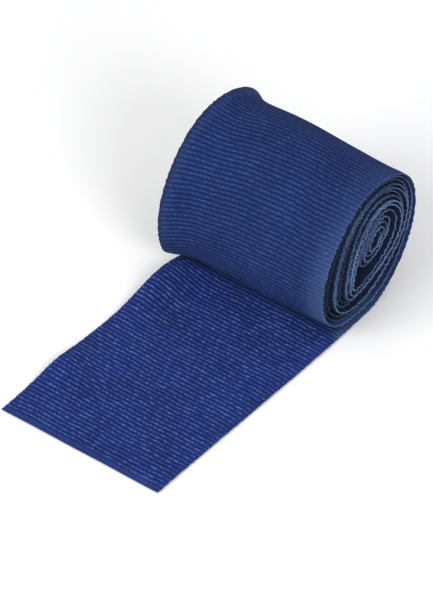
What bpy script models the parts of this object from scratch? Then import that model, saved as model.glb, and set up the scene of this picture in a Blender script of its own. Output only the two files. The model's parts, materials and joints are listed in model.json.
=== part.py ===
"""An elastic hand wrap, partly unrolled: a ribbed band wound on itself, with its free tail laid flat.

Frame: +X along the roll's axis (the band's width), +Y from the tail's free end towards the roll, +Z up.
The origin is at the middle of the whole object's footprint, on the surface that it lies on.
"""

import math

import bpy
import numpy as np

MM = 0.001

# Driving dimensions
BAND_WIDTH = 50.0 * MM
BAND_THICKNESS = 0.75 * MM
OVERALL_LENGTH = 106.0 * MM  # free end of the tail to the back of the roll
CLEARANCE = 0.3 * MM  # between pieces that touch on the real object

# The roll: a soft oval that leans away from the tail and sits flat on its outer turns
LEAN = math.radians(45.0)
ROLL_HALF_LONG = 21.9 * MM  # centre line of the outermost turn, along the lean
ROLL_HALF_SHORT = 17.5 * MM  # and across it
ROLL_HEIGHT = 19.5 * MM  # centre of the oval above the surface
PITCH_LONG = 1.15 * MM  # how much each turn shrinks, along the lean
PITCH_SHORT = 1.09 * MM  # and across it
DRIFT_LONG = 0.15 * MM  # each turn's centre moves this far up the lean, so turns pack at the back
DRIFT_SHORT = -0.09 * MM
FOOT_PITCH = 1.0 * MM  # turns lie this far apart where they rest on each other
FOOT_SOFTNESS = 0.5 * MM
TIP_SHARPNESS = 0.42  # how pointed the lower front end of the inner turns is

# The core: small turns wound first, which stand off the turns around them and leave a slack hollow
CORE_START = 9.0  # turns counted inwards from the surface that the roll rests on
CORE_STEP = 1.05  # turns that the band takes to cross from the outer turns to the core
CORE_LEAD = 0.15
CORE_HALF_LONG = 7.2 * MM
CORE_HALF_SHORT = 4.5 * MM
CORE_PITCH_LONG = 1.45 * MM
CORE_PITCH_SHORT = 0.93 * MM
CORE_OFF_LONG = 3.4 * MM  # the core's centre from the oval's, along the lean
CORE_OFF_SHORT = -0.1 * MM
CORE_SHARPNESS = 0.15
TIP_NARROWING = 0.35

# Where each piece of the wound part starts and ends, in turns from the floor inwards
BAND_INNER_END = 13.3
STITCH_TURNS = (13.34, 13.36)
TAB_TURNS = (13.4, 14.1)
TAB_WIDTH = 40.0 * MM
TAB_THICKNESS = 0.6 * MM
STITCH_WIDTH = 36.0 * MM
STITCH_THICKNESS = 0.3 * MM
POINTS_PER_TURN = 36

# The turns' edges don't line up: how far whole turns stand out towards +X, turn by turn
TURN_OFFSETS = (0.0, -0.2, -1.0, -0.8, 0.3, -0.9, -0.6, 0.7, 1.0, 0.8, 0.2, 0.6, 0.2, 0.7, 0.0)
OFFSET_STEP = 1.0 * MM

# The tail: flat lengths of band, each hinged on the one nearer the roll
BINDING_LENGTH = 2.2 * MM  # fused strip along the free end
TAIL_HINGES = (21.0 * MM, 41.0 * MM, 61.0 * MM)  # fold lines, measured from the free end

BAND_BLUE = (0.024, 0.047, 0.16, 1.0)
TAIL_BLUE = (0.026, 0.05, 0.19, 1.0)
FUSED_BLUE = (0.012, 0.024, 0.085, 1.0)
TAB_NAVY = (0.01, 0.016, 0.05, 1.0)
THREAD_BLUE = (0.035, 0.065, 0.21, 1.0)


def clear_scene():
    for obj in list(bpy.data.objects):
        bpy.data.objects.remove(obj, do_unlink=True)


def material(name, colour, roughness):
    """A matte textile finish."""
    made = bpy.data.materials.new(name)
    made.use_nodes = True
    shader = made.node_tree.nodes["Principled BSDF"]
    shader.inputs["Base Color"].default_value = colour
    shader.inputs["Roughness"].default_value = roughness
    shader.inputs["Metallic"].default_value = 0.0
    return made


def smooth(x):
    """0 below 0, 1 above 1, and an S-curve between them."""
    x = np.clip(x, 0.0, 1.0)
    return x * x * (3.0 - 2.0 * x)


def wound_line(turn):
    """The wound band's centre line after so many turns inwards: lengthways from the oval's centre, and height.

    Each turn is an oval, smaller than the one outside it by one pitch. The band rises at the back, passes over
    the top and comes down the front. Past CORE_START it crosses to the smaller ovals of the core. Where a turn
    would dip into the layers under it, it lies flat on them instead.
    """
    angle = 2.0 * math.pi * turn - math.pi / 2.0 - LEAN
    core = smooth((turn - CORE_START + CORE_LEAD) / CORE_STEP)
    core_turn = turn - CORE_START - 1.0
    half_long = (1.0 - core) * (ROLL_HALF_LONG - PITCH_LONG * turn)
    half_long = half_long + core * (CORE_HALF_LONG - CORE_PITCH_LONG * core_turn)
    half_short = (1.0 - core) * (ROLL_HALF_SHORT - PITCH_SHORT * turn)
    half_short = half_short + core * (CORE_HALF_SHORT - CORE_PITCH_SHORT * core_turn)
    centre_long = (1.0 - core) * DRIFT_LONG * turn + core * CORE_OFF_LONG
    centre_short = (1.0 - core) * DRIFT_SHORT * turn + core * CORE_OFF_SHORT
    sharp = (1.0 - core) * TIP_SHARPNESS * smooth(turn / CORE_START) + core * CORE_SHARPNESS
    width = (1.0 + sharp * np.cos(angle)) / (1.0 + TIP_NARROWING * sharp)
    along = centre_long + half_long * np.cos(angle)
    across = centre_short + half_short * np.sin(angle) * width
    y = along * math.cos(LEAN) - across * math.sin(LEAN)
    z = ROLL_HEIGHT + along * math.sin(LEAN) + across * math.cos(LEAN)
    lowest = BAND_THICKNESS / 2.0 + FOOT_PITCH * turn
    above = z - lowest
    z = lowest + 0.5 * (above + np.sqrt(above * above + FOOT_SOFTNESS**2))
    return y, z


def inward_normal(turn):
    """Unit normals of the centre line, pointing to the inside of the roll."""
    step = 1e-4
    y0, z0 = wound_line(turn - step)
    y1, z1 = wound_line(turn + step)
    length = np.hypot(y1 - y0, z1 - z0)
    return -(z1 - z0) / length, (y1 - y0) / length


def roll_centre_y():
    """Where the oval's centre lies, so that the object is OVERALL_LENGTH long and centred on the origin."""
    turn = np.linspace(0.0, 0.5, 500)
    y, _ = wound_line(turn)
    normal_y, _ = inward_normal(turn)
    back = (y - normal_y * BAND_THICKNESS / 2.0).max()
    return OVERALL_LENGTH / 2.0 - back


def prism(name, rings, finish):
    """A closed solid from rings of four corners each, joined in order and capped at both ends."""
    count = len(rings)
    points = np.concatenate(rings)
    faces = []
    for ring in range(count - 1):
        for corner in range(4):
            after = (corner + 1) % 4
            low = 4 * ring
            faces.append((low + corner, low + 4 + corner, low + 4 + after, low + after))
    faces.append((0, 1, 2, 3))
    last = 4 * (count - 1)
    faces.append((last + 3, last + 2, last + 1, last))
    mesh = bpy.data.meshes.new(name)
    mesh.from_pydata([tuple(p) for p in points], [], faces)
    mesh.validate()
    mesh.materials.append(finish)
    obj = bpy.data.objects.new(name, mesh)
    bpy.context.scene.collection.objects.link(obj)
    return obj


def ring(y, z, normal_y, normal_z, half_width, half_thickness, offset):
    """The band's four corners at one place along it, going round so that its faces point outwards."""
    lower = (y - normal_y * half_thickness, z - normal_z * half_thickness)
    upper = (y + normal_y * half_thickness, z + normal_z * half_thickness)
    return np.array(
        [
            (offset - half_width, *lower),
            (offset + half_width, *lower),
            (offset + half_width, *upper),
            (offset - half_width, *upper),
        ]
    )


def wound_strip(name, first, last, width, thickness, centre_y, finish, lead=()):
    """A strip wound from one turn to another. lead holds any rings that come before it."""
    steps = max(2, math.ceil((last - first) * POINTS_PER_TURN))
    turns = np.linspace(first, last, steps + 1)
    y, z = wound_line(turns)
    normal_y, normal_z = inward_normal(turns)
    offset = np.interp(turns, range(len(TURN_OFFSETS)), TURN_OFFSETS) * OFFSET_STEP
    rings = list(lead)
    for i in range(len(turns)):
        place = (centre_y + y[i], z[i], normal_y[i], normal_z[i])
        rings.append(ring(*place, width / 2.0, thickness / 2.0, offset[i]))
    return prism(name, rings, finish)


def flat_strip(name, start_y, end_y, finish, hinge=None):
    """A flat length of band on the surface. With a hinge, it hangs from an empty on the hinge line."""
    half = BAND_THICKNESS / 2.0
    rings = [ring(y, half, 0.0, 1.0, BAND_WIDTH / 2.0, half, 0.0) for y in (start_y, end_y)]
    strip = prism(name, rings, finish)
    if hinge is not None:
        hang_from(strip, hinge)
    return strip


def hang_from(obj, hinge):
    """Parents an object to a hinge's empty and keeps it where it is."""
    obj.parent = hinge
    obj.matrix_parent_inverse = hinge.matrix_world.inverted()


def fold_line(name, y, parent=None):
    """An empty on a fold line, at the band's upper face, so that the gap opens under it when the tail lifts."""
    empty = bpy.data.objects.new(name, None)
    empty.empty_display_size = 5.0 * MM
    empty.location = (0.0, y, BAND_THICKNESS)
    bpy.context.scene.collection.objects.link(empty)
    bpy.context.view_layer.update()
    if parent is not None:
        hang_from(empty, parent)
        bpy.context.view_layer.update()
    return empty


def build_roll(free_end, centre_y):
    """The wound band with the flat length under it, and the hook tab sewn on its inner end."""
    band = material("wound_band_weave", BAND_BLUE, 0.85)
    hooks = material("hook_tape", TAB_NAVY, 0.6)
    thread = material("sewing_thread", THREAD_BLUE, 0.7)
    start = free_end + TAIL_HINGES[2] + CLEARANCE / 2.0
    half = BAND_THICKNESS / 2.0
    lead = [ring(start, half, 0.0, 1.0, BAND_WIDTH / 2.0, half, 0.0)]
    wound_strip("wound_band", 0.0, BAND_INNER_END, BAND_WIDTH, BAND_THICKNESS, centre_y, band, lead)
    wound_strip("tab_stitching", *STITCH_TURNS, STITCH_WIDTH, STITCH_THICKNESS, centre_y, thread)
    wound_strip("hook_tab", *TAB_TURNS, TAB_WIDTH, TAB_THICKNESS, centre_y, hooks)


def build_tail(free_end):
    """Three hinged lengths of band, nearest the roll first, and the fused strip on the free end."""
    weave = material("tail_weave", TAIL_BLUE, 0.85)
    fused = material("fused_edge", FUSED_BLUE, 0.6)
    gap = CLEARANCE / 2.0
    near, middle, far = (free_end + y for y in reversed(TAIL_HINGES))
    inner_hinge = fold_line("tail_inner_fold", near)
    middle_hinge = fold_line("tail_middle_fold", middle, inner_hinge)
    outer_hinge = fold_line("tail_outer_fold", far, middle_hinge)
    flat_strip("tail_inner_band", middle + gap, near - gap, weave, inner_hinge)
    flat_strip("tail_middle_band", far + gap, middle - gap, weave, middle_hinge)
    binding_end = free_end + BINDING_LENGTH
    flat_strip("tail_outer_band", binding_end + CLEARANCE, far - gap, weave, outer_hinge)
    flat_strip("free_end_binding", free_end, binding_end, fused, outer_hinge)


def main():
    clear_scene()
    free_end = -OVERALL_LENGTH / 2.0
    build_roll(free_end, roll_centre_y())
    build_tail(free_end)


main()
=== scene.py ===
# %% [markdown]
# # An elastic hand wrap, half unrolled
#
# A hand wrap is one long strip of ribbed elastic fabric. Here most of it is wound into a soft roll, and the rest
# lies in front as a free tail. Everything in this file follows from that: there is one strip, so there is one
# formula for it, and each piece below is a length of that strip.
#
# The frame is the solid model that the wrap is built around. It says how big everything is, and which lengths of
# the tail can lift. We load it first and keep its box.

# %% Load the frame
import json
import math

import bpy
import numpy as np
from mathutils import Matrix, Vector


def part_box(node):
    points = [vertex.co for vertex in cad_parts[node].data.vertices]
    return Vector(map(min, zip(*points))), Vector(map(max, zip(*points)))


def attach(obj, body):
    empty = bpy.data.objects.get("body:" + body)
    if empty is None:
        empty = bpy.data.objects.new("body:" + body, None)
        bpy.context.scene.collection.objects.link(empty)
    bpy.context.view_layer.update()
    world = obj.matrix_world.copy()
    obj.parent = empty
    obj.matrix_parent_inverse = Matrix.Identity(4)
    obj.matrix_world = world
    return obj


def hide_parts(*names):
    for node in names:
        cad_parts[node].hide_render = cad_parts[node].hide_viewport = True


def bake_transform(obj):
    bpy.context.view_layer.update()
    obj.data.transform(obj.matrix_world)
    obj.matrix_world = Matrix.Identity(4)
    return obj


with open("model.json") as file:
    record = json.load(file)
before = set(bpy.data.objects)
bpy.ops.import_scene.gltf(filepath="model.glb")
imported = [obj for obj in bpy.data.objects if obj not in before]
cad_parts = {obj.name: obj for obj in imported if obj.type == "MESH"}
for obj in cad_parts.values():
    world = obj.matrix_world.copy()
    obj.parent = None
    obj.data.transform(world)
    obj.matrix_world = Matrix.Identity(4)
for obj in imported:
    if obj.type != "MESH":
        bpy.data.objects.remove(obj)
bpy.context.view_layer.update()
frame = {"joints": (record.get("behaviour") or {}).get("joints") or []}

MM = 0.001
free_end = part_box("free_end_binding")[0][1]
band_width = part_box("tail_outer_band")[1][0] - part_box("tail_outer_band")[0][0]
roll_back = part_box("wound_band")[1][1]
folds = {joint["name"]: joint["pos_m"][1] - free_end for joint in frame["joints"]}
print("folds, from the free end", {name: round(at, 4) for name, at in folds.items()})

# %% [markdown]
# ## The camera, the table and the light
#
# The wrap is looked down on at about 42 degrees, from its open side, through a long lens. A long lens keeps
# parallel edges almost parallel, which suits a small thing on a table. We set the camera before anything else,
# so that every later step can be judged from the same place.

# %% Camera
VIEW_AZIMUTH = math.radians(37.7)
VIEW_ELEVATION = math.radians(41.6)
VIEW_DISTANCE = 1.5
VIEW_HEIGHT = 151.1 * MM  # what the frame takes in, top to bottom, at the middle of the object
AIM_RIGHT = 1.7 * MM
AIM_UP = 9.8 * MM


def make_camera():
    """A camera VIEW_DISTANCE from the object, aimed beside the origin so that the wrap sits as it should."""
    flat = math.cos(VIEW_ELEVATION)
    towards = Vector(
        (math.sin(VIEW_AZIMUTH) * flat, -math.cos(VIEW_AZIMUTH) * flat, math.sin(VIEW_ELEVATION))
    )
    turn = towards.to_track_quat("Z", "Y")
    aim = turn @ Vector((AIM_RIGHT, AIM_UP, 0.0))
    data = bpy.data.cameras.new("camera")
    data.sensor_width = 36.0
    data.lens = data.sensor_width * VIEW_DISTANCE / VIEW_HEIGHT
    data.clip_end = 20.0
    camera = bpy.data.objects.new("camera", data)
    camera.location = aim + towards * VIEW_DISTANCE
    camera.rotation_euler = turn.to_euler()
    bpy.context.scene.collection.objects.link(camera)
    bpy.context.scene.camera = camera
    return camera


camera = make_camera()
print("lens", round(camera.data.lens), "mm")

# %% Table and light
TABLE_SIZE = 6.0
TABLE_WHITE = (0.93, 0.93, 0.93, 1.0)


def make_table():
    """A plain pale floor, just under the wrap."""
    half = TABLE_SIZE / 2.0
    mesh = bpy.data.meshes.new("table")
    corners = [(-half, -half, 0.0), (half, -half, 0.0), (half, half, 0.0), (-half, half, 0.0)]
    mesh.from_pydata(corners, [], [(0, 1, 2, 3)])
    finish = bpy.data.materials.new("table_white")
    finish.use_nodes = True
    shader = finish.node_tree.nodes["Principled BSDF"]
    shader.inputs["Base Color"].default_value = TABLE_WHITE
    shader.inputs["Roughness"].default_value = 0.9
    shader.inputs["Specular IOR Level"].default_value = 0.1
    mesh.materials.append(finish)
    table = bpy.data.objects.new("table", mesh)
    bpy.context.scene.collection.objects.link(table)
    return table


def area_light(name, place, size, watts, colour):
    """A square soft box that faces the origin."""
    data = bpy.data.lights.new(name, "AREA")
    data.size = size
    data.energy = watts
    data.color = colour
    light = bpy.data.objects.new(name, data)
    light.location = place
    light.rotation_euler = Vector(place).to_track_quat("Z", "Y").to_euler()
    bpy.context.scene.collection.objects.link(light)
    return light


def make_light():
    """A bright even room, one large soft box in front and above, and a smaller one on the open side."""
    world = bpy.data.worlds.new("studio")
    world.use_nodes = True
    sky = world.node_tree.nodes["Background"]
    sky.inputs["Color"].default_value = (0.97, 0.98, 1.0, 1.0)
    sky.inputs["Strength"].default_value = 0.66
    bpy.context.scene.world = world
    area_light("front_soft_box", (-0.35, -1.0, 0.75), 0.8, 10.0, (1.0, 0.99, 0.97))
    area_light("side_soft_box", (0.95, -0.45, 0.6), 0.5, 7.5, (1.0, 1.0, 1.0))


table = make_table()
make_light()
bpy.context.scene.view_settings.view_transform = "Standard"
print("table", TABLE_SIZE, "m")

# %% [markdown]
# ## The path of the strip
#
# Wind a strip round and round and, seen from its edge, it is a spiral. This roll was squeezed, so each turn is an
# oval, leaning away from the tail, a little smaller than the turn outside it. The turns pack tightly at the back
# and loosely at the lower front, where they are almost folded. In the middle is a small core that was wound
# first, and under the core a slack hollow. Where the roll rests on the table the turns lie flat on each other.
#
# The numbers are the frame's own driving dimensions. A formula is better than a drawn curve here, because
# the same formula gives every turn, at any spacing we ask for.

# %% The spiral
BAND_THICKNESS = 0.75 * MM
LEAN = math.radians(45.0)
ROLL_HALF_LONG = 21.9 * MM
ROLL_HALF_SHORT = 17.5 * MM
ROLL_HEIGHT = 19.5 * MM
PITCH_LONG = 1.15 * MM
PITCH_SHORT = 1.09 * MM
DRIFT_LONG = 0.15 * MM
DRIFT_SHORT = -0.09 * MM
FOOT_PITCH = 1.0 * MM
FOOT_SOFTNESS = 0.5 * MM
TIP_SHARPNESS = 0.42
TIP_NARROWING = 0.35
CORE_START = 9.0
CORE_STEP = 1.05
CORE_LEAD = 0.15
CORE_HALF_LONG = 7.2 * MM
CORE_HALF_SHORT = 4.5 * MM
CORE_PITCH_LONG = 1.45 * MM
CORE_PITCH_SHORT = 0.93 * MM
CORE_OFF_LONG = 3.4 * MM
CORE_OFF_SHORT = -0.1 * MM
CORE_SHARPNESS = 0.15
BAND_INNER_END = 13.3  # turns, where the band stops and the closure tab goes on
TAB_TURNS = (13.4, 14.1)
STITCH_TURNS = (13.3, 13.46)


def smooth(x):
    """0 below 0, 1 above 1, and between them 3x^2 - 2x^3, which starts and ends level."""
    x = np.clip(x, 0.0, 1.0)
    return x * x * (3.0 - 2.0 * x)


def bump(x, centre, width):
    """A bell curve: e to the power of minus the square of the distance from centre, in widths."""
    return np.exp(-(((x - centre) / width) ** 2))


def wound_line(turn):
    """The strip's centre line after so many turns inwards from the table.

    Each turn is an ellipse whose half axes shrink by one pitch a turn. Its lower front tip is narrowed by
    (1 + sharpness times the cosine of the angle). A height under the layers already there is pushed up to lie
    on them: lowest + (above + square root of (above^2 + softness^2)) / 2.
    """
    angle = 2.0 * math.pi * turn - math.pi / 2.0 - LEAN
    core = smooth((turn - CORE_START + CORE_LEAD) / CORE_STEP)
    core_turn = turn - CORE_START - 1.0
    half_long = (1.0 - core) * (ROLL_HALF_LONG - PITCH_LONG * turn)
    half_long = half_long + core * (CORE_HALF_LONG - CORE_PITCH_LONG * core_turn)
    half_short = (1.0 - core) * (ROLL_HALF_SHORT - PITCH_SHORT * turn)
    half_short = half_short + core * (CORE_HALF_SHORT - CORE_PITCH_SHORT * core_turn)
    centre_long = (1.0 - core) * DRIFT_LONG * turn + core * CORE_OFF_LONG
    centre_short = (1.0 - core) * DRIFT_SHORT * turn + core * CORE_OFF_SHORT
    sharp = (1.0 - core) * TIP_SHARPNESS * smooth(turn / CORE_START) + core * CORE_SHARPNESS
    width = (1.0 + sharp * np.cos(angle)) / (1.0 + TIP_NARROWING * sharp)
    along = centre_long + half_long * np.cos(angle)
    across = centre_short + half_short * np.sin(angle) * width
    y = along * math.cos(LEAN) - across * math.sin(LEAN)
    z = ROLL_HEIGHT + along * math.sin(LEAN) + across * math.cos(LEAN)
    lowest = BAND_THICKNESS / 2.0 + FOOT_PITCH * turn
    above = z - lowest
    return y, lowest + 0.5 * (above + np.sqrt(above * above + FOOT_SOFTNESS**2))


# %% [markdown]
# The spiral counts in turns, but fabric counts in length: its ribs are evenly spaced along the strip, not along
# the angle. So we walk the spiral in tiny steps, add up their lengths, and keep the table. From then on every
# place on the strip is a distance from its free end.

# %% Length along the strip
TABLE_STEPS = 40000
turn_table = np.linspace(0.0, TAB_TURNS[1], TABLE_STEPS)
table_y, table_z = wound_line(turn_table)
back_y = (table_y[: TABLE_STEPS // 20]).max()
centre_y = roll_back - back_y - BAND_THICKNESS / 2.0
table_y = table_y + centre_y
flat_length = table_y[0] - free_end
step_lengths = np.hypot(np.diff(table_y), np.diff(table_z))
length_table = flat_length + np.concatenate([[0.0], np.cumsum(step_lengths)])
FLOOR_CLEARANCE = 0.03 * MM


def turn_at(length):
    """How many turns inwards a place on the strip is, from its distance to the free end. Flat places are 0."""
    return np.interp(length, length_table, turn_table)


def length_at(turn):
    """The distance to the free end, from how many turns inwards a place is."""
    return float(np.interp(turn, turn_table, length_table))


def centre_line(length):
    """(y, z) of the strip's middle layer: flat on the table at first, then along the spiral."""
    y = np.where(length < flat_length, free_end + length, np.interp(length, length_table, table_y))
    settle = smooth((length - flat_length + 20.0 * MM) / (20.0 * MM))
    flat_z = BAND_THICKNESS / 2.0 + settle * (table_z[0] - BAND_THICKNESS / 2.0)
    z = np.where(length < flat_length, flat_z, np.interp(length, length_table, table_z))
    return y, z + FLOOR_CLEARANCE


def inward(length):
    """Unit normals of the centre line: a quarter turn from its direction, so up on the tail and inwards on
    the roll."""
    step = 0.05 * MM
    y0, z0 = centre_line(length - step)
    y1, z1 = centre_line(length + step)
    size = np.hypot(y1 - y0, z1 - z0)
    return -(z1 - z0) / size, (y1 - y0) / size


print("flat", round(flat_length, 4), "m, whole strip", round(length_at(BAND_INNER_END), 3), "m")

# %% [markdown]
# ## What the strip does off its path
#
# Real fabric never follows its path exactly, and these small departures are what make the roll look soft.
# The turns' edges don't line up, because nobody winds that neatly. The outermost turns flare at both ends like
# the rim of a spool, most at the far end, where the edge stands up as a small lip. The tail's far edge lifts off
# the table in two shallow waves. Each of these is a function of the place on the strip.

# %% Departures from the path
TURN_OFFSETS = (0.0, -0.2, -1.0, -0.8, 0.3, -0.9, -0.6, 0.7, 1.0, 0.8, 0.2, 0.6, 0.2, 0.7, 0.0)
OFFSET_STEP = 1.0 * MM
DRIFT_ASIDE = (0.9 * MM, 70.0 * MM, 34.0 * MM)  # how far, and its middle and width along the strip
FLARE_FAR = 2.9 * MM
FLARE_FAR_REACH = 10.5 * MM
FLARE_NEAR = 0.1 * MM
FLARE_NEAR_REACH = 6.0 * MM
LIP = 0.85 * MM
LIP_REACH = 3.2 * MM
SWELL = 1.0 * MM
FLARED_TURNS = 4.5
FLARE_LEFT = 0.3  # the share of it that the inner turns keep
FLARE_FOOT = 9.0 * MM  # the height under which it fades towards the table
OVER_TOP = (0.40, 0.12)  # middle and width, in turns
UPPER_FRONT = (0.60, 0.13)
SWELL_TURNS = (0.42, 0.13)
SWELL_MIDDLE = (-8.0 * MM, 13.0 * MM)  # middle and width across the strip
SWELL_DIP = (19.0 * MM, 7.0 * MM)
WAVE_FIRST = (1.3 * MM, 22.0 * MM, 7.0 * MM)  # height, middle and width along the tail
WAVE_SECOND = (3.1 * MM, 63.0 * MM, 11.0 * MM)
WAVE_REACH = 15.0 * MM
RIPPLE = 0.09 * MM
half_width = band_width / 2.0


def sideways(length):
    """How far the strip is shifted along the roll's axis: each turn at its own offset, a slow drift where the
    tail meets the roll, and a little waver."""
    turn = turn_at(length)
    offset = np.interp(turn, range(len(TURN_OFFSETS)), TURN_OFFSETS) * OFFSET_STEP
    far, middle, wide = DRIFT_ASIDE
    waver = np.sin(length / (4.1 * MM)) + np.sin(length / (6.7 * MM) + 1.0)
    return offset + far * bump(length, middle, wide) + RIPPLE * waver * smooth(turn * 2.0)


def flare(length, x):
    """How far the turns stand outwards: a squared ramp towards each edge, fading near the table, and over the
    first few turns to FLARE_LEFT. It is strongest at the upper front. Over the top it is weaker, but the far edge
    has a narrow lip there, and the top swells a little between the ends."""
    turn = turn_at(length)
    height = centre_line(length)[1]
    inner = np.clip(1.0 - (turn - 1.0) / FLARED_TURNS, FLARE_LEFT, 1.0)
    share = smooth(turn / 0.12) * inner * smooth(height / FLARE_FOOT)
    over_top = bump(turn, *OVER_TOP)
    upper_front = bump(turn, *UPPER_FRONT)
    far = np.clip((FLARE_FAR_REACH - half_width - x) / FLARE_FAR_REACH, 0.0, 1.0)
    near = np.clip((x - half_width + FLARE_NEAR_REACH) / FLARE_NEAR_REACH, 0.0, 1.0)
    edge = np.clip((LIP_REACH - half_width - x) / LIP_REACH, 0.0, 1.0)
    between = bump(x, *SWELL_MIDDLE) - 0.3 * bump(x, *SWELL_DIP)
    swell = SWELL * bump(turn, *SWELL_TURNS) * between
    strength = 1.0 - 0.5 * over_top + 0.6 * upper_front
    far_end = FLARE_FAR * strength * far ** (2.0 + 1.2 * over_top)
    return share * (far_end + FLARE_NEAR * near**2 + LIP * over_top * edge**2 + swell)


def lift(length, x):
    """How far the tail is off the table: two bell-shaped waves that grow towards the far edge, and a faint
    ripple all over."""
    towards_far = smooth((WAVE_REACH - half_width - x) / WAVE_REACH) ** 1.3
    waves = sum(high * bump(length, middle, wide) for high, middle, wide in (WAVE_FIRST, WAVE_SECOND))
    ripple = 1.0 + np.sin(length / (3.1 * MM) + x / (9.0 * MM)) * np.sin(x / (5.3 * MM) + 0.8)
    settled = smooth((flat_length - 3.0 * MM - length) / (11.0 * MM))
    return settled * (waves * towards_far + RIPPLE * ripple)


print("flare", FLARE_FAR / MM, "mm far; waves", WAVE_FIRST[0] / MM, "and", WAVE_SECOND[0] / MM, "mm high")

# %% [markdown]
# Inside the roll the turns only lie apart near their ends. Slack cloth sags, so half way across each turn has
# sunk towards the next one in, and the hollow under the core is closed there. Together with the flare, this
# keeps light from shining straight through the gaps between the turns.

# %% Slack turns
TOUCHING = 0.65 * MM  # the cloth between two centre lines that can come no closer
SAG_MIDDLE = 1.0 * MM
SAG_WIDTH = 9.0 * MM
SAG_SAMPLE = 14  # every so many steps of the length table
SAG_SOFTNESS = 9  # samples averaged together


def make_sag():
    """For samples along the spiral, the step to the nearest place on the next turn in, less the cloth that
    lies between them. The outer two turns hold the roll's shape, and don't sag."""
    turn = turn_table[::SAG_SAMPLE]
    place = np.stack([table_y, table_z], axis=-1)[::SAG_SAMPLE]
    apart = np.linalg.norm(place[None, :] - place[:, None], axis=-1)
    apart[np.abs(turn[None, :] - turn[:, None] - 1.0) > 0.45] = np.inf
    nearest = apart.argmin(axis=1)
    gap = apart[np.arange(len(turn)), nearest]
    share = smooth(turn - 2.0) * smooth((BAND_INNER_END - 1.1 - turn) / 0.3)
    step = (place[nearest] - place) * (share * np.clip(1.0 - TOUCHING / gap, 0.0, 1.0))[:, None]
    soften = np.ones(SAG_SOFTNESS) / SAG_SOFTNESS
    return turn, np.convolve(step[:, 0], soften, "same"), np.convolve(step[:, 1], soften, "same")


sag_turn, sag_y, sag_z = make_sag()


def sag(length, x):
    """(y, z) of how far the strip has sunk inwards: the whole step at SAG_MIDDLE, and a bell curve away from it."""
    turn = turn_at(length)
    share = bump(x, SAG_MIDDLE, SAG_WIDTH)
    return np.interp(turn, sag_turn, sag_y) * share, np.interp(turn, sag_turn, sag_z) * share


print("deepest sag", round(float(np.hypot(sag_y, sag_z).max()) / MM, 2), "mm")

# %% [markdown]
# ## The ribbed knit
#
# The fabric is knitted with elastic threads, so it draws up into ribs that run across the strip. Each rib is a
# row of small beads, one for each stitch, and the beads of neighbouring ribs are staggered. The tail was pulled
# out a little, so its ribs lie further apart than the roll's. On the roll they also bow, because the strip was
# wound with more pull on one edge.
#
# A place on the fabric is counted in stitches: how many beads across, and how many ribs along. Both the mesh
# and the material use that count, so their patterns always agree.

# %% Ribs and beads
RIB_PITCH = 1.3 * MM
RIB_PITCH_ON_ROLL = 1.21 * MM
BEAD_PITCH = 1.25 * MM
SELVEDGE = 3.2 * MM
RIB_BOW = 4.0 * MM
RIB_BOW_START = 12.0 * MM


def rib_row(length):
    """Ribs from the free end along the strip's middle: one each RIB_PITCH on the tail, and closer on the roll."""
    on_roll = np.maximum(length - flat_length, 0.0)
    return np.minimum(length, flat_length) / RIB_PITCH + on_roll / RIB_PITCH_ON_ROLL


def rib_count(length, x):
    """Ribs from the free end at any place. On the roll the ribs bow: towards the far edge they run on along the
    strip, by the square of the way there. Two slow waves keep them from being quite straight."""
    way_across = np.clip(RIB_BOW_START - x, 0.0, None) / (RIB_BOW_START + half_width)
    bow = way_across**2 * smooth(turn_at(length) / 0.3)
    waves = 0.12 * np.sin(x / (7.0 * MM) + length / (19.0 * MM))
    waves = waves + 0.07 * np.sin(x / (2.3 * MM) - length / (11.0 * MM))
    return rib_row(length) - RIB_BOW / RIB_PITCH_ON_ROLL * bow + waves


def rib_height(length, x):
    """From 0 in a groove to 1 on a bead: the cosine of the rib count, made positive, times a weaker wave
    across that is half a bead out of step on every other rib."""
    ribs = rib_count(length, x)
    crest = np.abs(np.cos(math.pi * ribs))
    row = np.floor(ribs + 0.5)
    beads = 0.5 + 0.5 * np.cos(2.0 * math.pi * x / BEAD_PITCH + math.pi * row)
    inside = smooth((half_width - np.abs(x)) / SELVEDGE)
    return crest * (0.86 + 0.14 * beads * inside)


ribs_in_all = int(rib_row(length_at(BAND_INNER_END)))
print("ribs", ribs_in_all, "of them on the tail", int(rib_row(flat_length)))

# %% [markdown]
# The ribs are deep enough to show in outline, so they are made in the mesh, as changes in the cloth's thickness.
# The long edges are a smoother selvedge, where the thread turns back at every rib and leaves a row of small
# loops, so the edge goes in and out.

# %% Points on the strip
RIB_DEPTH = 0.15 * MM
CLOTH_HALF = 0.25 * MM
EDGE_HALF = 0.15 * MM
EDGE_ROUND = 0.3 * MM
EDGE_THINNING = 1.5 * MM
LOOP_DEPTH = 0.2 * MM
LOOP_ZONE = 1.2 * MM
LOOP_WAVER = 0.12 * MM
END_FADE = 4.0 * MM
END_TRIM = 0.3 * MM
END_NARROWING = 0.012
END_NARROWING_REACH = 35.0 * MM


def half_thickness(length, x):
    """Half the cloth's thickness: the flat middle plus the ribs. Both are thinner in the selvedge, the ribs
    fade at the free end, and the last bit closes as a quarter circle, so that every edge is round."""
    inside = smooth((half_width - np.abs(x)) / SELVEDGE)
    pressed = 0.15 + 0.85 * smooth((length - 1.0 * MM) / END_FADE)
    past = np.clip((np.abs(x) - half_width + EDGE_ROUND) / EDGE_ROUND, 0.0, 1.0)
    before = np.clip(1.0 - (length - END_TRIM) / EDGE_ROUND, 0.0, 0.99)
    closing = np.sqrt((1.0 - past**2) * (1.0 - before**2))
    flat = EDGE_HALF + (CLOTH_HALF - EDGE_HALF) * smooth((half_width - np.abs(x)) / EDGE_THINNING)
    return (flat + RIB_DEPTH * rib_height(length, x) * (0.15 + 0.85 * inside) * pressed) * closing


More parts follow.
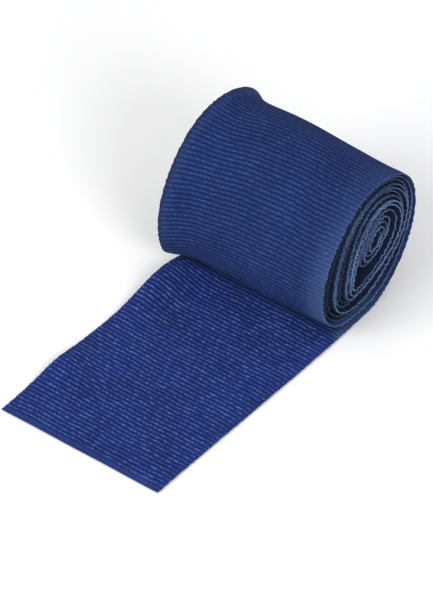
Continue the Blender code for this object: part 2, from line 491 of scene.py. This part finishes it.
def edge_loops(length, x):
    """How far the edge stands out: the loops, one a rib, and an unevenness that makes each a little different.
    Both fade in over LOOP_ZONE, and are weaker on the tail and at the far edge."""
    at_edge = smooth((np.abs(x) - half_width + LOOP_ZONE) / LOOP_ZONE) * np.sign(x)
    loops = LOOP_DEPTH * (np.abs(np.cos(math.pi * rib_count(length, x))) - 0.6)
    uneven = LOOP_WAVER * np.sin(length / (0.39 * MM) + 4.0 * np.sin(length / (2.9 * MM)))
    on_roll = 0.4 + 0.6 * smooth(turn_at(length) / 0.5) * np.where(x > 0.0, 1.0, 0.3)
    return (loops + uneven) * at_edge * on_roll


def band_surface(length, x, side):
    """Points on one face of the strip: side is -1 for the outer face and 1 for the inner. Start on the centre
    line, step out by half the thickness along the normal, and add the flare, the sag, the lift, the sideways
    shift and the loops."""
    y, z = centre_line(length)
    normal_y, normal_z = inward(length)
    off = side * half_thickness(length, x) - flare(length, x)
    narrowed = x * (1.0 - END_NARROWING * smooth(1.0 - length / END_NARROWING_REACH))
    across = narrowed + edge_loops(length, x) + sideways(length)
    sunk_y, sunk_z = sag(length, x)
    y = y + normal_y * off + sunk_y
    z = z + normal_z * off + sunk_z + lift(length, x)
    return np.stack([across, y, z], axis=-1)


print("cloth", 2.0 * CLOTH_HALF / MM, "mm thick in a groove,", 2.0 * (CLOTH_HALF + RIB_DEPTH) / MM, "mm on a rib")

# %% [markdown]
# The material needs to know more than the stitch count: where the knit is plain, which on the roll's near end also
# carries a painted highlight; how pale its loops are, from a little rubbing and mostly painted highlight; and where
# painted shade darkens the yarn that is wound in. The open end of the roll is a mix of all three, and the turns
# that stand out get the most painted highlight. Each is a share from 0 to 1 at every point.

# %% Plain places, painted highlights and painted shade
# on the roll's near end the plain band is partly smoother selvedge and partly a painted highlight
SELVEDGE_AND_HIGHLIGHT_ON_ROLL = 9.0 * MM
LOOPS = 0.8 * MM
LOOPS_INSIDE = 0.35 * MM
# the width of the painted shade on the roll's far rim
SHADED_RIM = 1.4 * MM
# how pale each turn's loops are: a little rubbing and mostly painted highlight, low where turns set back lie in
# shade
TURN_WEAR_AND_HIGHLIGHT = (0.05, 0.05, 0.1, 0.15, 0.9, 0.3, 0.2, 0.9, 0.9, 0.8, 0.6, 0.8, 0.6, 0.9, 0.6)
PACKED_WEAR_AND_HIGHLIGHT = 0.9
PACKED_AT = 0.19  # turns on from where the strip meets the table


def plainness_and_highlight(length, x):
    """From 0 in the ribbed middle to 1 at the edges and the free end, where the knit is smoother. On the near end
    of the roll it reaches further and adds a painted highlight, strongest at the bottom, the lower front and the
    inner turns, and weakest up the back and over the top, as the light falls there."""
    turn = turn_at(length)
    reach = np.where(x > 0.0, SELVEDGE + (SELVEDGE_AND_HIGHLIGHT_ON_ROLL - SELVEDGE) * smooth(turn / 0.1), SELVEDGE)
    # painted highlight on the near end: strongest at the bottom and lower front, weakest up the back and over the
    # top
    lit_near_end = 0.3 + 0.7 * smooth((turn - 0.5) / 0.35) + 0.7 * smooth(1.0 - turn / 0.1)
    at_sides = smooth((np.abs(x) - half_width + reach) / reach) * np.where(x > 0.0, lit_near_end, 0.4)
    return np.maximum(at_sides, smooth(1.0 - length / END_FADE))


def loop_share(x, inner):
    """1 on the outermost loops and 0 from LOOPS inwards, or less far in on the inner face."""
    reach = LOOPS + (LOOPS_INSIDE - LOOPS) * inner
    return smooth((np.abs(x) - half_width + reach) / (0.6 * reach))


def wear_and_highlight(length, x, inner):
    """How pale the loops are, from a little rubbing and mostly painted highlight: the turns that stand out get the
    most, the ones set back stay dark in painted shade, and all but the outermost are paled where they are packed
    together, low down and at the back."""
    turn = turn_at(length)
    patchy = 0.85 + 0.15 * np.sin(length / (5.0 * MM) + 2.0 * np.sin(length / (13.0 * MM)))
    round_turn = 0.5 + 0.5 * np.cos(2.0 * math.pi * (turn - PACKED_AT))
    packed = PACKED_WEAR_AND_HIGHLIGHT * round_turn**1.1 * smooth(turn - 0.1)
    rubbed_and_lit = np.maximum(packed, np.interp(turn, range(len(TURN_WEAR_AND_HIGHLIGHT)), TURN_WEAR_AND_HIGHLIGHT))
    return loop_share(x, inner) * patchy * rubbed_and_lit


def painted_shade(length, x, inner):
    """Painted shade: 1 on yarn that is wound in, where the roll shades it, and less on the loops as they carry more
    rubbing and painted highlight. The outermost turn's far edge is turned in a little, and its rim gets painted
    shade too."""
    # painted shade on the yarn wound inside the roll
    shade_inside_roll = smooth((turn_at(length) - 0.95) / 0.2) * (1.0 - wear_and_highlight(length, x, inner))
    rim = 0.7 * smooth((SHADED_RIM - half_width - x) / SHADED_RIM) * smooth(turn_at(length) / 0.2)
    return np.maximum(shade_inside_roll, rim)


print("selvedge", SELVEDGE / MM, "mm,", SELVEDGE_AND_HIGHLIGHT_ON_ROLL / MM, "mm at the open end of the roll")

# %% [markdown]
# A length of the strip is a closed sleeve: its rings run round the strip, across the outer face and back across
# the inner one, and a lid closes each end. Columns can be spread evenly, for the faces that show, or crowded
# towards the edges, for inner turns of which only the edges show.

# %% Sleeves from rings
EDGE_COLUMNS = np.array([0.0, 0.06, 0.16, 0.28, 0.5, 0.85, 1.3]) * MM


def columns(count):
    """Places across the strip: crowded at both edges, and count evenly spaced ones between."""
    left = -half_width + EDGE_COLUMNS
    middle = np.linspace(left[-1], -left[-1], count + 2)[1:-1]
    return np.concatenate([left, middle, -left[::-1]])


def sleeve(name, rings):
    """A closed mesh from an array of rings, shaped (rings, points round, 3). Points j and -j of a ring face each
    other, so a lid is a row of quads between them with a triangle at either end."""
    rows, around, _ = rings.shape
    index = np.arange(rows * around).reshape(rows, around)
    after = np.roll(index, -1, axis=1)
    walls = np.stack([index[:-1], index[1:], after[1:], after[:-1]], axis=-1).reshape(-1, 4)
    half = around // 2
    j = np.arange(1, half - 1)
    lid = np.stack([j, j + 1, around - j - 1, around - j], axis=-1)
    tips = np.array([(0, 1, around - 1), (half - 1, half, half + 1)])
    last = (rows - 1) * around
    faces = walls.tolist() + lid.tolist() + tips.tolist()
    faces += (lid[:, ::-1] + last).tolist() + (tips[:, ::-1] + last).tolist()
    mesh = bpy.data.meshes.new(name)
    mesh.from_pydata(rings.reshape(-1, 3).tolist(), [], faces)
    mesh.shade_smooth()
    ends = np.empty(len(mesh.edges) * 2, np.int32)
    mesh.edges.foreach_get("vertices", ends)
    ring = ends.reshape(-1, 2) // around
    at_lid = (ring[:, 0] == ring[:, 1]) & ((ring[:, 0] == 0) | (ring[:, 0] == rows - 1))
    mesh.attributes.new("sharp_edge", "BOOLEAN", "EDGE").data.foreach_set("value", at_lid)
    obj = bpy.data.objects.new(name, mesh)
    bpy.context.scene.collection.objects.link(obj)
    return obj


def mark(obj, name, kind, values):
    """Stores one value or vector per point, for the material to read."""
    attribute = obj.data.attributes.new(name, kind, "POINT")
    field = "vector" if kind == "FLOAT_VECTOR" else "value"
    attribute.data.foreach_set(field, np.ascontiguousarray(values, np.float32).reshape(-1))


def band_piece(name, start, end, per_rib, across):
    """A length of the strip, from start to end, with so many rings to a rib and these columns."""
    rows = max(4, round((end - start) / RIB_PITCH * per_rib)) + 1
    length = np.linspace(start, end, rows)[:, None]
    back = across[-2:0:-1]
    rings = np.concatenate(
        [band_surface(length, across[None, :], -1.0), band_surface(length, back[None, :], 1.0)], axis=1
    )
    obj = sleeve(name, rings)
    x = np.concatenate([across, back])[None, :] + 0.0 * length
    ribs = rib_count(length + 0.0 * x, x)
    inner = np.concatenate([0.0 * across, 1.0 + 0.0 * back])[None, :] + 0.0 * length
    mark(obj, "knit", "FLOAT_VECTOR", np.stack([x / BEAD_PITCH, ribs, inner], axis=-1))
    # plain knit with a painted highlight, loop rubbing with painted highlight, and painted shade
    places = (plainness_and_highlight(length, x), wear_and_highlight(length, x, inner), painted_shade(length, x, inner))
    mark(obj, "places", "FLOAT_VECTOR", np.stack(places, axis=-1))
    print(name, len(obj.data.polygons), "faces,", round((end - start) / MM, 1), "mm long")
    return obj


print("columns at each edge", len(EDGE_COLUMNS))

# %% [markdown]
# ## The material of the knit
#
# Up close the fabric isn't one blue. The beads catch the light and look paler, the grooves between the ribs are
# nearly navy, and single stitches glint: the colour carries painted highlight on the beads, crests and single
# stitches, and painted shade in the grooves. Single yarns vary. The selvedge is paler and plainer, and on the
# roll's near end it also carries a painted highlight. The face that was inside the roll, which the tail shows, is
# fresher and more violet than the outside.
#
# All of that comes from the stitch count that each point carries. The pattern is a node group, because the
# strip, the closure tape and the thread all use the same yarn, with other colours.

# %% Node helpers
def new_group(name, inputs, outputs):
    """An empty shader node group with named sockets. Returns the group, its input node and its output node."""
    group = bpy.data.node_groups.new(name, "ShaderNodeTree")
    for label, kind in inputs:
        group.interface.new_socket(label, in_out="INPUT", socket_type=kind)
    for label, kind in outputs:
        group.interface.new_socket(label, in_out="OUTPUT", socket_type=kind)
    return group, group.nodes.new("NodeGroupInput"), group.nodes.new("NodeGroupOutput")


def math_node(tree, operation, first, second=None):
    """A Math node. An argument is a socket to link or a number to set."""
    node = tree.nodes.new("ShaderNodeMath")
    node.operation = operation
    for slot, value in enumerate((first, second)):
        if value is None:
            continue
        if isinstance(value, (int, float)):
            node.inputs[slot].default_value = value
        else:
            tree.links.new(value, node.inputs[slot])
    return node.outputs[0]


def mix_colour(tree, share, first, second, blend="MIX"):
    """A colour Mix node."""
    node = tree.nodes.new("ShaderNodeMix")
    node.data_type = "RGBA"
    node.blend_type = blend
    for socket, value in ((node.inputs[0], share), (node.inputs[6], first), (node.inputs[7], second)):
        if hasattr(value, "links"):
            tree.links.new(value, socket)
        else:
            socket.default_value = value
    return node.outputs[2]


def noise(tree, vector, scale, detail):
    """A Noise texture's factor, on the given coordinates."""
    node = tree.nodes.new("ShaderNodeTexNoise")
    node.inputs["Scale"].default_value = scale
    node.inputs["Detail"].default_value = detail
    tree.links.new(vector, node.inputs["Vector"])
    return node.outputs[0]


# %% The yarn pattern
def make_yarn_group():
    """Masks of the knit from a stitch count (beads, ribs, face), each from 0 to 1.

    Crest is the ribs' rounded tops, a little broken up by the beads. The second mask is a painted highlight on
    single bright stitches of a rib, picked out by noise that differs from rib to rib. Tone is a slow drift of shade
    over the cloth. Fuzz is the tangle of fibres. Height is the crest with the fuzz on it.
    """
    group, enter, leave = new_group(
        "knitted_yarn",
        [("Stitches", "NodeSocketVector")],
        [(label, "NodeSocketFloat") for label in ("Crest", "Glint", "Tone", "Fuzz", "Height")],
    )
    stitches = enter.outputs["Stitches"]
    split = group.nodes.new("ShaderNodeSeparateXYZ")
    group.links.new(stitches, split.inputs[0])
    beads, ribs, side = split.outputs
    wander = math_node(group, "SUBTRACT", noise(group, stitches, 0.7, 2.0), 0.5)
    ribs = math_node(group, "ADD", ribs, math_node(group, "MULTIPLY", wander, 0.45))
    wave = math_node(group, "COSINE", math_node(group, "MULTIPLY", ribs, math.pi))
    rounded = math_node(group, "POWER", math_node(group, "ABSOLUTE", wave), 1.7)
    row = math_node(group, "FLOOR", math_node(group, "ADD", ribs, 0.5))
    phase = math_node(group, "MULTIPLY", beads, 2.0 * math.pi)
    phase = math_node(group, "ADD", phase, math_node(group, "MULTIPLY", row, math.pi))
    bead = math_node(group, "MULTIPLY", math_node(group, "COSINE", phase), 0.5)
    bead = math_node(group, "ADD", bead, 0.5)
    along_rib = group.nodes.new("ShaderNodeCombineXYZ")
    group.links.new(math_node(group, "MULTIPLY", beads, 0.9), along_rib.inputs[0])
    group.links.new(math_node(group, "MULTIPLY", row, 3.7), along_rib.inputs[1])
    group.links.new(side, along_rib.inputs[2])
    streak = noise(group, along_rib.outputs[0], 1.0, 2.0)
    uneven = math_node(group, "MULTIPLY", math_node(group, "SUBTRACT", streak, 0.5), 0.9)
    beaded = math_node(group, "ADD", math_node(group, "MULTIPLY", bead, 0.22), 0.72)
    beaded = math_node(group, "ADD", beaded, uneven)
    crest = math_node(group, "MULTIPLY", rounded, beaded)
    picked = math_node(group, "MULTIPLY", math_node(group, "SUBTRACT", streak, 0.46), 5.0)
    picked = math_node(group, "MINIMUM", math_node(group, "MAXIMUM", picked, 0.0), 1.0)
    narrow = math_node(group, "POWER", math_node(group, "ABSOLUTE", wave), 6.0)
    parted = math_node(group, "ADD", math_node(group, "MULTIPLY", bead, 0.6), 0.4)
    # painted highlight on single stitches of a rib
    glint = math_node(group, "MULTIPLY", picked, math_node(group, "MULTIPLY", parted, narrow))
    fibres = math_node(group, "SUBTRACT", noise(group, stitches, 2.6, 4.0), 0.38)
    fuzz = math_node(group, "MAXIMUM", math_node(group, "MULTIPLY", fibres, 4.2), 0.0)
    fuzz = math_node(group, "MINIMUM", fuzz, 1.0)
    height = math_node(group, "ADD", crest, math_node(group, "MULTIPLY", fuzz, 0.25))
    group.links.new(crest, leave.inputs["Crest"])
    group.links.new(glint, leave.inputs["Glint"])
    group.links.new(noise(group, stitches, 0.11, 3.0), leave.inputs["Tone"])
    group.links.new(fuzz, leave.inputs["Fuzz"])
    group.links.new(height, leave.inputs["Height"])
    return group


yarn_group = make_yarn_group()
print("yarn pattern", len(yarn_group.nodes), "nodes")

# %% [markdown]
# Five finishes use the pattern: the weave of the roll, the fresher weave of the tail, the fused end, the hook
# tape and the sewing thread. Cloth scatters light at a glance, so each has a little sheen.

# %% One knitted finish
def cloth(name, groove, crest, glint, plain, loops, depth, roughness=0.88, drift=0.9):
    """A knitted finish. The colour goes from groove to crest to the bright stitches by the yarn's masks, so that it
    paints shade into the grooves and highlight onto the crests and single stitches. It goes half way to plain in
    the smoother places, which on the roll's near end is partly a painted highlight, and to loops on the outermost
    loops, by their rubbing and painted highlight. Yarn in painted shade is much darker, and Tone shades all of it,
    by drift. Depth is the bump's height in metres."""
    material = bpy.data.materials.new(name)
    material.use_nodes = True
    tree = material.node_tree
    shader = tree.nodes["Principled BSDF"]
    shader.inputs["Specular IOR Level"].default_value = 0.12
    shader.inputs["Sheen Weight"].default_value = 0.03
    shader.inputs["Sheen Roughness"].default_value = 0.45
    shader.inputs["Sheen Tint"].default_value = (0.45, 0.65, 1.0, 1.0)
    yarn = tree.nodes.new("ShaderNodeGroup")
    yarn.node_tree = yarn_group
    count = tree.nodes.new("ShaderNodeAttribute")
    count.attribute_name = "knit"
    tree.links.new(count.outputs["Vector"], yarn.inputs["Stitches"])
    where = tree.nodes.new("ShaderNodeAttribute")
    where.attribute_name = "places"
    places = tree.nodes.new("ShaderNodeSeparateXYZ")
    tree.links.new(where.outputs["Vector"], places.inputs[0])
    # groove to crest: painted shade in the grooves and painted highlight on the crests
    colour = mix_colour(tree, yarn.outputs["Crest"], (*groove, 1.0), (*crest, 1.0))
    # painted highlight on single stitches
    colour = mix_colour(tree, yarn.outputs["Glint"], colour, (*glint, 1.0))
    colour = mix_colour(tree, math_node(tree, "MULTIPLY", places.outputs[0], 0.5), colour, (*plain, 1.0))
    tangle = math_node(tree, "ADD", math_node(tree, "MULTIPLY", yarn.outputs["Fuzz"], 0.9), 0.1)
    # the loops' rubbing and painted highlight
    loop_rubbing_and_highlight = math_node(tree, "MULTIPLY", places.outputs[1], tangle)
    colour = mix_colour(tree, loop_rubbing_and_highlight, colour, (*loops, 1.0))
    shade = math_node(tree, "MULTIPLY", yarn.outputs["Tone"], drift)
    shade = math_node(tree, "ADD", shade, 0.9 - 0.5 * drift)
    shade = math_node(tree, "ADD", shade, math_node(tree, "MULTIPLY", yarn.outputs["Fuzz"], 0.2))
    # the third share darkens the colour by painted shade, inside the roll and on its far rim
    dark = math_node(tree, "SUBTRACT", 1.0, math_node(tree, "MULTIPLY", places.outputs[2], 0.76))
    shade = math_node(tree, "MULTIPLY", shade, dark)
    scaled = tree.nodes.new("ShaderNodeVectorMath")
    scaled.operation = "SCALE"
    tree.links.new(colour, scaled.inputs[0])
    tree.links.new(shade, scaled.inputs["Scale"])
    tree.links.new(scaled.outputs[0], shader.inputs["Base Color"])
    # the highlighted stitches are also a little glossier
    glint_gloss = math_node(tree, "MULTIPLY", yarn.outputs["Glint"], -0.15)
    tree.links.new(math_node(tree, "ADD", glint_gloss, roughness), shader.inputs["Roughness"])
    relief = tree.nodes.new("ShaderNodeBump")
    relief.inputs["Strength"].default_value = 0.6
    relief.inputs["Distance"].default_value = depth
    tree.links.new(yarn.outputs["Height"], relief.inputs["Height"])
    tree.links.new(relief.outputs["Normal"], shader.inputs["Normal"])
    return material


# %% [markdown]
# The tail is the freshest and bluest. The roll's outer turn is duller, and its loops are much paler than the rest,
# from a painted highlight and a little rubbing; its near end also has a paler painted highlight. The fused end and
# the hook tape are smoother, so they are a little glossier.

# %% The five finishes
tail_weave = cloth(
    "tail_weave",
    groove=(0.002, 0.009, 0.080),
    crest=(0.026, 0.052, 0.24),
    # painted highlight on single stitches
    glint=(0.095, 0.14, 0.31),
    plain=(0.012, 0.030, 0.15),
    loops=(0.02, 0.045, 0.18),
    depth=0.22 * MM,
)
wound_weave = cloth(
    "wound_weave",
    groove=(0.004, 0.013, 0.066),
    crest=(0.017, 0.037, 0.145),
    glint=(0.030, 0.056, 0.18),
    # plain: a painted highlight on the roll's near end, paler than the crests
    plain=(0.060, 0.105, 0.235),
    # loops: a painted highlight, with a little rubbing
    loops=(0.2, 0.31, 0.56),
    depth=0.2 * MM,
    drift=0.55,
)
fused_edge = cloth(
    "fused_edge",
    groove=(0.008, 0.02, 0.11),
    crest=(0.022, 0.045, 0.19),
    glint=(0.04, 0.07, 0.24),
    plain=(0.014, 0.03, 0.15),
    loops=(0.012, 0.026, 0.12),
    depth=0.08 * MM,
    roughness=0.65,
)
hook_tape = cloth(
    "hook_tape",
    groove=(0.005, 0.008, 0.025),
    crest=(0.018, 0.026, 0.07),
    glint=(0.03, 0.045, 0.1),
    plain=(0.01, 0.016, 0.04),
    loops=(0.01, 0.016, 0.04),
    depth=0.1 * MM,
    roughness=0.55,
)
sewing_thread = cloth(
    "sewing_thread",
    groove=(0.03, 0.05, 0.15),
    crest=(0.06, 0.09, 0.24),
    glint=(0.08, 0.12, 0.3),
    plain=(0.04, 0.07, 0.2),
    loops=(0.04, 0.07, 0.2),
    depth=0.05 * MM,
    roughness=0.6,
)
print("finishes", sorted(material.name for material in bpy.data.materials))

# %% [markdown]
# ## The tail
#
# The tail is the length that people pull first. It isn't cut into parts on the real wrap, but here it is three
# lengths that meet in a groove between ribs, at places set from the folds of the frame. The meeting places are away
# from the folds.

# %% Tail pieces
FUSED_LENGTH = 1.5 * RIB_PITCH  # up to a groove


def groove_at(length):
    """The nearest groove between two ribs."""
    row = round(float(rib_row(length)) - 0.5) + 0.5
    flat_rows = flat_length / RIB_PITCH
    return min(row, flat_rows) * RIB_PITCH + max(row - flat_rows, 0.0) * RIB_PITCH_ON_ROLL


def bend(obj):
    """Bakes the piece's transform into its mesh; nothing here makes it bend."""
    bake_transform(obj)


def dress(obj, material, slot, *nodes):
    """Gives a piece its finish and hides the solids of the frame that it stands for."""
    obj.data.materials.append(material)
    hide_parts(*nodes)


tail_columns = columns(150)
breaks = [
    groove_at((folds["tail_outer_fold"] + folds["tail_middle_fold"]) / 2.0),
    groove_at((folds["tail_middle_fold"] + folds["tail_inner_fold"]) / 2.0),
    groove_at(folds["tail_inner_fold"] + 11.0 * MM),
]
lengths = zip(
    ("tail_outer_knit", "tail_middle_knit", "tail_inner_knit"),
    [FUSED_LENGTH, *breaks[:2]],
    breaks,
    ("tail_outer", "tail_middle", "tail_inner"),
    ("tail_middle", "tail_inner", "roll"),
    ("tail_outer_fold", "tail_middle_fold", "tail_inner_fold"),
)
tail = []
for name, start, end, outer, inner, fold in lengths:
    piece = band_piece(name, start, end, 6, tail_columns)
    dress(piece, tail_weave, "tail_weave", outer + "_band")
    bend(piece)
    tail.append(piece)

# %% [markdown]
# The free end was cut with heat, which melts the last two millimetres of yarn into a thin, darker, slightly
# wavy strip.

# %% Fused free end
end_piece = band_piece("fused_end", END_TRIM, FUSED_LENGTH, 14, tail_columns)
dress(end_piece, fused_edge, "fused_edge", "free_end_binding")
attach(end_piece, "tail_outer")

# %% [markdown]
# ## The roll
#
# The outermost turn shows its whole width, so it gets as many columns as the tail. From the second turn inwards
# only the edges show, at the two ends, so those turns have crowded edges and a plain middle.

# %% Roll pieces
roll_columns = columns(110)
inner_columns = columns(11)
roll_pieces = []
for name, start, end, per_rib, across in (
    ("outer_turn_under", breaks[-1], length_at(0.30), 6.5, roll_columns),
    ("outer_turn_top", length_at(0.30), length_at(0.72), 6.5, roll_columns),
    ("outer_turn_front", length_at(0.72), length_at(1.15), 6.5, roll_columns),
    ("loose_turns", length_at(1.15), length_at(5.0), 5, inner_columns),
    ("tight_turns", length_at(5.0), length_at(BAND_INNER_END), 5, inner_columns),
):
    start, end = groove_at(start), groove_at(end)
    piece = band_piece(name, start, end, per_rib, across)
    dress(piece, wound_weave, "wound_weave", "wound_band")
    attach(piece, "roll")
    roll_pieces.append(piece)
print("roll", sum(len(piece.data.polygons) for piece in roll_pieces), "faces")

# %% [markdown]
# ## The closure
#
# Wraps of this kind close with a short tab of hook tape sewn to the inner end. It is wound into the middle of
# the roll, so little of it can be seen. The tape has rows of small hooks on its face, and a zigzag seam
# crosses it where it joins the strip.

# %% Hook tab and its seam
TAB_HALF_WIDTH = 20.0 * MM
TAB_HALF_THICKNESS = 0.2 * MM
HOOK_PITCH = 1.1 * MM
HOOK_HEIGHT = 0.18 * MM
SEAM_HALF_WIDTH = 18.0 * MM
THREAD_RADIUS = 0.12 * MM
ZIGZAG = 2.0 * MM


def hook_tab():
    """A narrow sleeve along the innermost half turn, with a bump for each hook: the product of two squared
    sines, at the hooks' pitch both ways."""
    start, end = length_at(TAB_TURNS[0]), length_at(TAB_TURNS[1])
    length = np.linspace(start, end, 70)[:, None]
    across = np.linspace(-1.0, 1.0, 120) * TAB_HALF_WIDTH
    back = across[-2:0:-1]
    y, z = centre_line(length)
    normal_y, normal_z = inward(length)

    def face(x, side):
        hooks = np.sin(math.pi * x / HOOK_PITCH) ** 2 * np.sin(math.pi * length / HOOK_PITCH) ** 2
        rounded = np.sqrt(np.clip(1.0 - (np.abs(x) / TAB_HALF_WIDTH) ** 40, 0.0, 1.0))
        off = side * (TAB_HALF_THICKNESS * rounded + HOOK_HEIGHT * hooks * (side > 0) * rounded)
        return np.stack([x + sideways(length) + 0.0 * off, y + normal_y * off, z + normal_z * off], axis=-1)

    rings = np.concatenate([face(across[None, :], -1.0), face(back[None, :], 1.0)], axis=1)
    obj = sleeve("hook_tape_tab", rings)
    x = np.concatenate([across, back])[None, :] + 0.0 * length
    mark(obj, "knit", "FLOAT_VECTOR", np.stack([x / HOOK_PITCH, length / HOOK_PITCH + 0.0 * x, 0.0 * x], axis=-1))
    return obj


def seam():
    """A thread that goes to and fro across the joint: a round tube whose middle follows a triangle wave."""
    x = np.linspace(-SEAM_HALF_WIDTH, SEAM_HALF_WIDTH, 19 * 8 + 1)
    wave = np.abs((x / ZIGZAG) % 2.0 - 1.0)
    middle = length_at(STITCH_TURNS[0]) + wave * (length_at(STITCH_TURNS[1]) - length_at(STITCH_TURNS[0]))
    y, z = centre_line(middle)
    normal_y, normal_z = inward(middle)
    off = TAB_HALF_THICKNESS + HOOK_HEIGHT + 2.0 * THREAD_RADIUS
    turn = np.linspace(0.0, 2.0 * math.pi, 8, endpoint=False)[None, :]
    out = off + THREAD_RADIUS * np.cos(turn)
    along = THREAD_RADIUS * np.sin(turn)
    rings = np.stack(
        [
            (x + sideways(middle))[:, None] + 0.0 * out,
            y[:, None] + normal_y[:, None] * out + normal_z[:, None] * along,
            z[:, None] + normal_z[:, None] * out - normal_y[:, None] * along,
        ],
        axis=-1,
    )
    obj = sleeve("tab_seam", rings)
    strand = x[:, None] / MM * 2.0 + 0.0 * out
    twist = np.stack([strand, out / MM * 3.0 + 0.0 * strand, 0.0 * strand], axis=-1)
    mark(obj, "knit", "FLOAT_VECTOR", twist)
    return obj


tab = hook_tab()
dress(tab, hook_tape, "hook_tape", "hook_tab")
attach(tab, "roll")
thread = seam()
dress(thread, sewing_thread, "sewing_thread", "tab_stitching")
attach(thread, "roll")
print("tab", len(tab.data.polygons), "faces, seam", len(thread.data.polygons), "faces")
